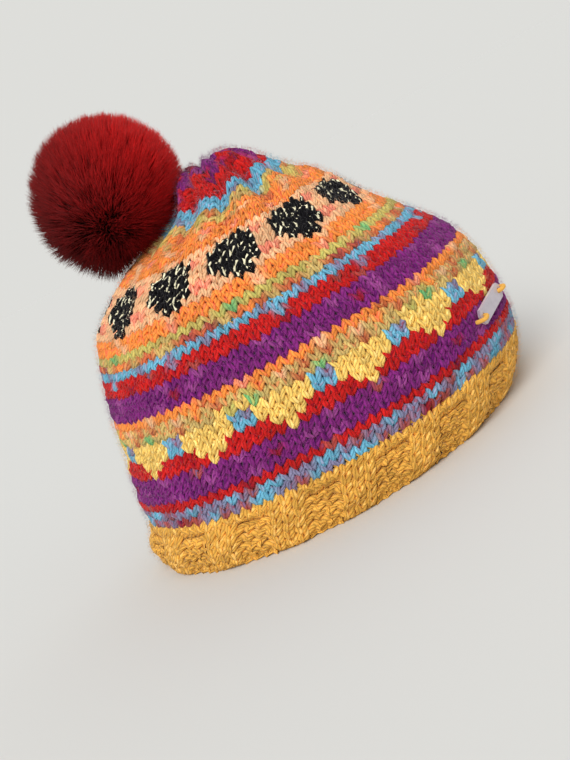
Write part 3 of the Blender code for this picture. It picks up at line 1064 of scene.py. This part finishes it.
crown_search = crown_faces()
clear = np.ones(HAIRS)
for i, tip in enumerate(tips):
    way = Vector(tip)
    hit = crown_search.ray_cast(fur_centre, way.normalized(), way.length + RAY_SPARE)
    if hit[0] is not None:
        clear[i] = max((hit[3] - FUR_GAP) / way.length, SHORTEST_HAIR)
tips = tips * clear[:, None]
roots = np.where((clear < SHORT_HAIR)[:, None], roots * clear[:, None], roots)
middles = np.where((clear < 1)[:, None], (roots + tips) / 2, middles)
print("hairs shortened by the crown:", int((clear < 1).sum()))

# %% [markdown]
# ## Hairs as meshes
#
# Each spike is bent through its root, middle and tip. The colour runs from dark red at the root
# to bright red at the tip, and the dark roots are painted shade deep in the fur. Two pieces
# share the hairs, because one mesh of them all would be too heavy to export well.

# %% Bent and coloured hairs
HAIR_ROOT = 0.00042
# Dark red: painted shade at the roots of the hairs and on the heart, and the tie's own red.
FUR_ROOT_SHADE_AND_TIE_RED = linear(96, 0, 6)
FUR_TIP_COLOUR = linear(174, 18, 18)


def fur_places(roots, middles, tips):
    """The points of each spike, bent through its root, middle and tip."""
    x, y, z = (hair[0][:, i][None, :, None] for i in range(3))
    bend = (1 - z) ** 2 * roots[:, None] + 2 * z * (1 - z) * middles[:, None]
    bend = bend + z**2 * tips[:, None]
    way = unit(tips - roots)
    side = unit(np.cross(way, random.normal(0, 1, way.shape)))
    other = np.cross(way, side)
    flat = x * side[:, None] + y * other[:, None]
    return np.array(fur_centre) + bend + flat * HAIR_ROOT


def fur_piece(name, part):
    """Some of the hairs as one piece."""
    places = fur_places(roots[part], middles[part], tips[part])
    level = hair[0][:, 2][None, :, None]
    # Painted shade: darker towards the roots.
    colours = FUR_ROOT_SHADE_AND_TIE_RED * (1 - level) + FUR_TIP_COLOUR * level
    colours = colours * np.exp(tone_and_painted_light[part])[:, None, None]
    colours[..., 3] = 1
    mesh = repeated(name, hair, places, {"yarn_colour": colours})
    return dress(name, mesh, "pompom")


fur = [
    fur_piece("pompom_fur_a", slice(0, HAIRS, 2)),
    fur_piece("pompom_fur_b", slice(1, HAIRS, 2)),
]

# %% [markdown]
# ## Fuzz
#
# Brushed wool has a haze of loose fibres that catches the light along the outline. These are the
# same thin spikes, far finer, rooted all over the knitting and leaning every way. Each is painted
# paler than the yarn that it grows from, as painted light for the lit haze.

# %% Loose fibres
FIBRES = 30000
FIBRE_LENGTH = 0.0036
FIBRE_LENGTHS = (0.5, 1.2)
FIBRE_RADIUS = 0.000032
FIBRE_FOOT = 0.001
FIBRE_RISE = 0.75
FIBRE_SPREAD = 0.55
FIBRE_PAINTED_LIGHT = 0.16
FIBRE_PAINTED_BRIGHTENING = 1.2
FUZZ_START = 0.006
FUZZ_END = 0.208
fibre = spike(bends=False)


def loose_fibres(name, low, high, count, solid):
    """Fibres between two lengths up the fabric."""
    turn = random.uniform(-math.pi, math.pi, count)
    along = random.uniform(low, high, count)
    root = fabric(turn, along, np.full(count, -YARN_BED))
    above = fabric(turn, along, np.full(count, FIBRE_FOOT))
    way = unit(unit(above - root) * FIBRE_RISE + random.normal(0, FIBRE_SPREAD, (count, 3)))
    size = FIBRE_LENGTH * random.uniform(*FIBRE_LENGTHS, count)[:, None]
    side = unit(np.cross(way, random.normal(0, 1, way.shape)))
    other = np.cross(way, side)
    points = fibre[0][None]
    bend = points[..., 2:] * (way * size)[:, None]
    flat = points[..., :1] * side[:, None] + points[..., 1:2] * other[:, None]
    places = above[:, None] - way[:, None] * FIBRE_FOOT + bend + flat * FIBRE_RADIUS
    rows = np.floor((along - band_top) / ROW_HEIGHT - ROW_LAP).astype(int)
    rows = np.clip(rows, -BAND_ROWS, len(ROW_CHART) - 1)
    shades = np.array([colour_at(row, angle) for row, angle in zip(rows, turn)])
    # Painted light: each fibre is a paler, brighter copy of its yarn's colour.
    colours = FIBRE_PAINTED_LIGHT + FIBRE_PAINTED_BRIGHTENING * shades[:, None]
    mesh = repeated(name, fibre, places, {"yarn_colour": colours, "fleck_colour": colours})
    return dress(name, mesh, solid)


crown_start = band_top + CROWN_ROW * ROW_HEIGHT
fuzz = [
    loose_fibres("band_fuzz", FUZZ_START, band_top, FIBRES // 6, "rib_band"),
    loose_fibres("body_fuzz", band_top, crown_start, FIBRES // 2, "knit_body"),
    loose_fibres("crown_fuzz", crown_start, FUZZ_END, FIBRES // 2, "knit_crown"),
]
for obj in fuzz:
    obj.data.materials.append(wool)

# %% [markdown]
# ## The heart of the pompom
#
# Under the fur of a real pompom is a firm round core. A ball stands for it, so no light comes
# through between the hairs, and its dark colour is painted shade deep in the fur. Where the ball
# would touch the crown, the same rays as before press it in.

# %% The dark heart
HEART_SIZE = 1.12
HEART_GAP = 0.0015
HEART_LEAST = 0.004
bm = bmesh.new()
bmesh.ops.create_icosphere(bm, subdivisions=4, radius=FUR_ROOT * HEART_SIZE)
for vert in bm.verts:
    way = vert.co.normalized()
    hit = crown_search.ray_cast(fur_centre, way, vert.co.length + RAY_SPARE)
    if hit[0] is not None:
        vert.co = way * max(hit[3] - HEART_GAP, HEART_LEAST)
bmesh.ops.translate(bm, verts=bm.verts, vec=fur_centre)
mesh = bpy.data.meshes.new("pompom_heart")
bm.to_mesh(mesh)
bm.free()
mesh.shade_smooth()
heart = dress("pompom_heart", mesh, "pompom")

# %% [markdown]
# ## The look of the fur
#
# Each hair carries its red, with painted light and shade in it, and the shader adds a warm
# sheen at the edges. Blender's hair shaders are lost in the export, so the Principled shader is
# used. The heart and the small yarns are plain, with a fine mottle in colour and height.

# %% Fur materials
MOTTLE_GRAIN = 900.0
MOTTLE_DARK = 0.75
MOTTLE_LIGHT = 1.25
MOTTLE_BUMP = 0.0002
FUR_SHEEN = (1.0, 0.55, 0.5, 1)


def mottled_material(name, colour, roughness):
    """A Principled material with a fine mottle in its colour."""
    made, tree, shader = principled(name, Roughness=roughness)
    spot = tree.nodes.new("ShaderNodeTexCoord").outputs["Object"]
    noise = node(tree, "ShaderNodeTexNoise", Vector=spot, Scale=MOTTLE_GRAIN, Detail=3.0)
    ramp = node(tree, "ShaderNodeValToRGB", Fac=noise.outputs["Fac"])
    for element, share in zip(ramp.color_ramp.elements, (MOTTLE_DARK, MOTTLE_LIGHT)):
        element.color = (*(colour[:3] * share), 1)
    bump = node(tree, "ShaderNodeBump", Height=noise.outputs["Fac"], Strength=0.5)
    attach(tree, bump.inputs["Distance"], MOTTLE_BUMP)
    attach(tree, shader.inputs["Base Color"], ramp.outputs["Color"])
    attach(tree, shader.inputs["Normal"], bump.outputs["Normal"])
    return made


def fur_material(name):
    """Soft hair that takes its colour from the hairs."""
    look_of_fur = {"Specular_IOR_Level": 0.12, "Sheen_Weight": 0.06, "Sheen_Tint": FUR_SHEEN}
    made, tree, shader = principled(name, Roughness=0.55, **look_of_fur)
    colour = tree.nodes.new("ShaderNodeAttribute")
    colour.attribute_name = "yarn_colour"
    attach(tree, shader.inputs["Base Color"], colour.outputs["Color"])
    return made


hairy = fur_material("fur")
for obj in fur:
    obj.data.materials.append(hairy)
# The heart's dark red is painted shade.
heart.data.materials.append(mottled_material("fur_heart_painted_shade", FUR_ROOT_SHADE_AND_TIE_RED, 0.9))
print("fur on", len(fur), "pieces and a heart of", len(heart.data.polygons), "faces")

# %% [markdown]
# ## The clear tag
#
# The tag is a thin clear plate, so the purple knitting shows through it and its edges look pale.
# The plain solid is already the right shape, so it only gets a finish. Layer Weight picks out the
# edges and paints them pale, as a painted reflection, and Alpha lets the wool show. Where the
# real tag has words, this one is bare.

# %% The tag's finish
TAG_CLOUD = (0.50, 0.42, 0.52, 1)
TAG_PAINTED_REFLECTION = (0.95, 0.92, 0.95, 1)
TAG_EDGE_START = 0.35
TAG_EDGE_END = 0.75
TAG_COVER = (0.5, 0.34)
TAG_CLOUDING = 0.2


def finish_solid(name, material):
    """Gives one of the plain solids that stay its material."""
    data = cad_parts[name].data
    data.materials.clear()
    data.materials.append(material)
    print(name, "wears", material.name)


clear_plate, tree, shader = principled("clear_plate", Roughness=0.15, Coat_Weight=0.6)
rim = node(tree, "ShaderNodeLayerWeight", Blend=0.5)
spot = tree.nodes.new("ShaderNodeTexCoord").outputs["Object"]
cloud = node(tree, "ShaderNodeTexNoise", Vector=spot, Scale=300.0, Detail=2.0)
cover = math_node(tree, "MULTIPLY_ADD", rim.outputs["Facing"], *TAG_COVER)
hazy = math_node(tree, "MULTIPLY_ADD", cloud.outputs["Fac"], TAG_CLOUDING, cover)
# Painted reflection: the colour turns pale where the plate is seen edge on.
edges = node(tree, "ShaderNodeValToRGB", Fac=rim.outputs["Facing"])
middle, outside = edges.color_ramp.elements
middle.color = TAG_CLOUD
middle.position = TAG_EDGE_START
outside.color = TAG_PAINTED_REFLECTION
outside.position = TAG_EDGE_END
attach(tree, shader.inputs["Alpha"], hazy)
attach(tree, shader.inputs["Base Color"], edges.outputs["Color"])
finish_solid("label_tag", clear_plate)

# %% [markdown]
# ## The tag's stitches and the tie
#
# Two short lengths of the band's own yarn hold the tag, and a red one holds the pompom. Each is a
# plain bent cord already, so it keeps its solid and only needs the colour and mottle of yarn.

# %% Small yarns
for name, colour, roughness in (
    ("tag_stitch_front", YARNS["o"][0], 0.9),
    ("tag_stitch_side", YARNS["o"][0], 0.9),
    ("pompom_tie", FUR_ROOT_SHADE_AND_TIE_RED, 0.85),
):
    finish_solid(name, mottled_material(name + "_finish", colour, roughness))

# %% [markdown]
# ## The floor
#
# The hat stands on a wide pale floor, as on a sheet of studio paper. A flat disc with no gloss is
# enough.

# %% Floor
FLOOR_RADIUS = 12.0
FLOOR_SIDES = 96
FLOOR_SHADE = (0.685, 0.685, 0.66)
bm = bmesh.new()
bmesh.ops.create_circle(bm, cap_ends=True, segments=FLOOR_SIDES, radius=FLOOR_RADIUS)
mesh = bpy.data.meshes.new("floor")
bm.to_mesh(mesh)
bm.free()
floor = bpy.data.objects.new("floor", mesh)
bpy.context.scene.collection.objects.link(floor)
dull = {"Roughness": 1.0, "Specular_IOR_Level": 0.0}
paper, _, _ = principled("pale_paper", Base_Color=(*FLOOR_SHADE, 1), **dull)
mesh.materials.append(paper)
print("the floor is", 2 * FLOOR_RADIUS, "m across")

# %% [markdown]
# ## Light
#
# Two soft suns light the hat from the upper left and from behind, because a sun lights a floor
# evenly however wide it is. The sky gives the rest. What the camera sees of the sky has the
# floor's own brightness, so the far edge of the floor can't be seen.

# %% Lights
SKY = 0.50
SUNS = (("key", (-0.45, -1.0, 1.0), 2.0, 35), ("back", (0.5, 0.8, 1.2), 0.55, 60))
onto_floor = SKY
for name, way, power, soft in SUNS:
    light = bpy.data.lights.new(name, "SUN")
    light.energy = power
    light.angle = math.radians(soft)
    obj = bpy.data.objects.new(name, light)
    obj.rotation_euler = (-Vector(way)).to_track_quat("-Z", "Y").to_euler()
    bpy.context.scene.collection.objects.link(obj)
    onto_floor += power * Vector(way).normalized().z / math.pi

world = bpy.data.worlds.new("studio")
world.use_nodes = True
tree = world.node_tree
seen = [shade * onto_floor for shade in FLOOR_SHADE]
path = tree.nodes.new("ShaderNodeLightPath")
sky = mixed_colour(tree, path.outputs["Is Camera Ray"], (SKY, SKY, SKY, 1), (*seen, 1))
attach(tree, tree.nodes["Background"].inputs["Color"], sky)
bpy.context.scene.world = world
print("floor brightness", [round(v, 3) for v in seen])
